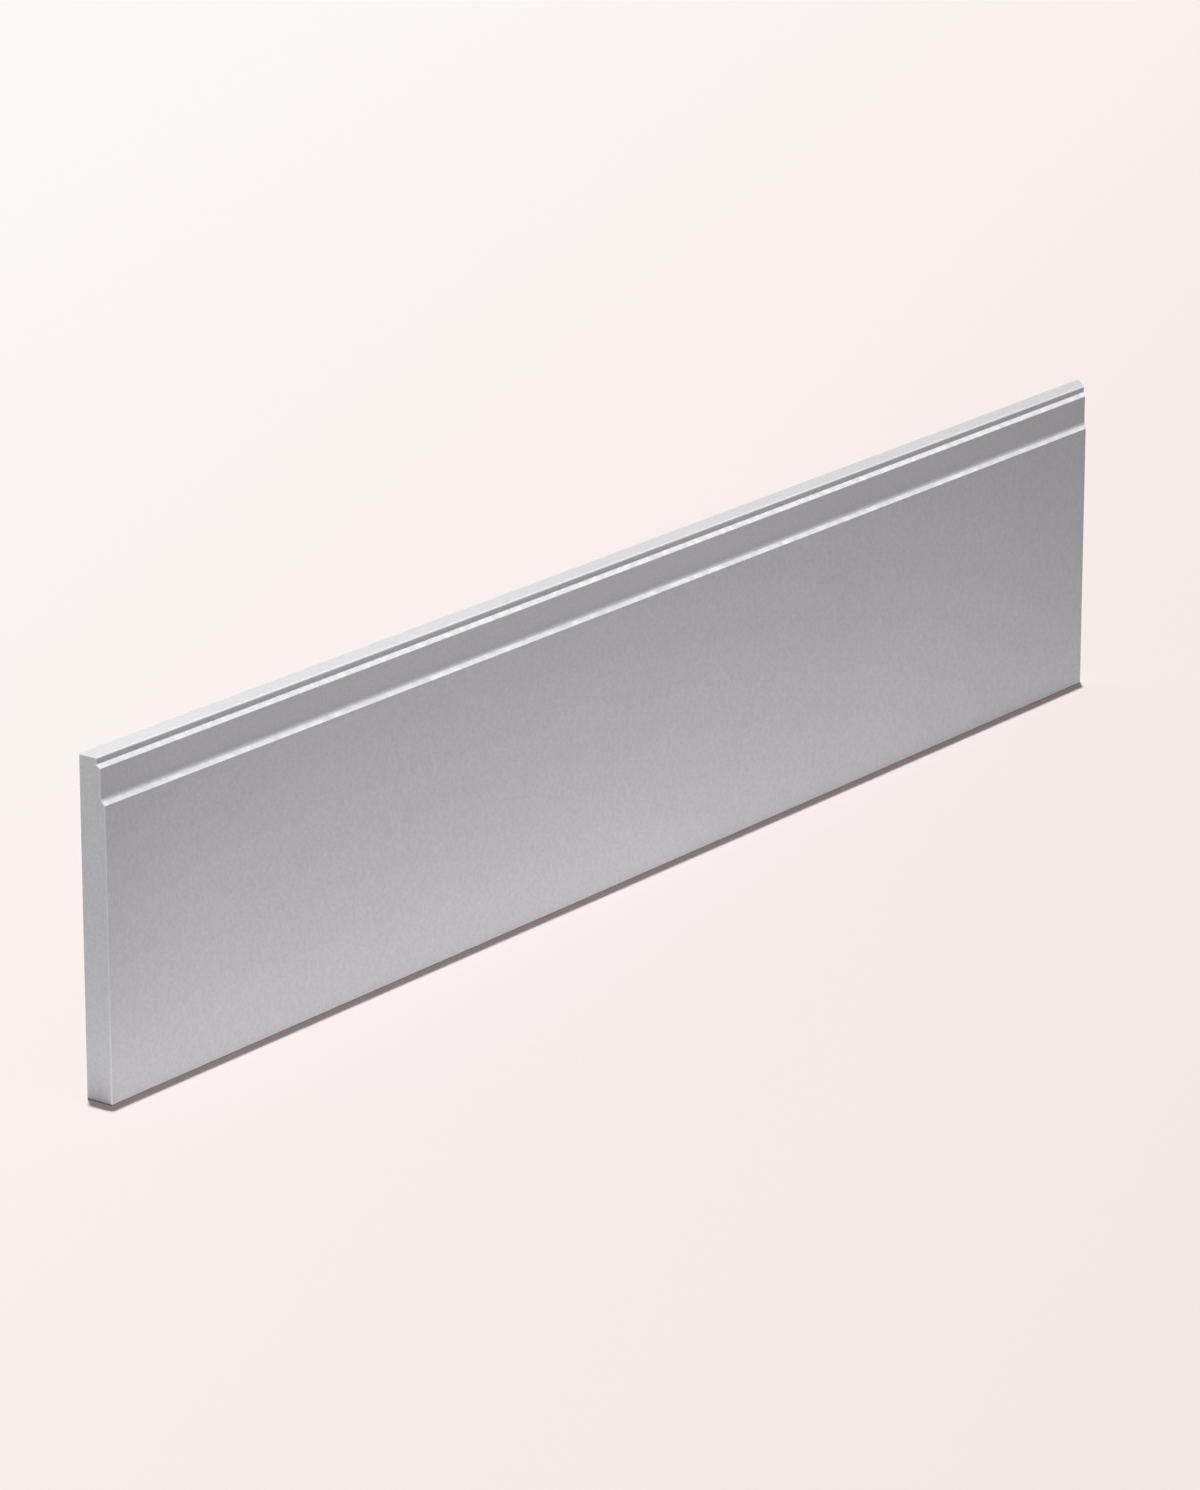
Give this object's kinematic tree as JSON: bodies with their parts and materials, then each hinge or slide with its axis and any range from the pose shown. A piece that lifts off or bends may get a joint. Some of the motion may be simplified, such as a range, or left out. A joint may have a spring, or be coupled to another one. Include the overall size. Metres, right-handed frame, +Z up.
{
  "type": "skirting board",
  "caption": "Straight painted skirting board with a stepped, chamfered and bevelled moulding along its top edge. The left end is square, and the right end is mitred for an inside corner.",
  "frame": {"origin": "on the line where the wall meets the floor, halfway along the board's bottom back edge", "axes": "+X along the wall towards the mitred end, +Y into the wall, +Z up from the floor; the moulded front faces -Y"},
  "size_m": [1, 0.018, 0.2],
  "materials": {
    "paint": "satin paint over fine sprayed primer on fibreboard"
  },
  "bodies": {
    "root": {"skirting_board": "paint"}
  },
  "joints": []
}
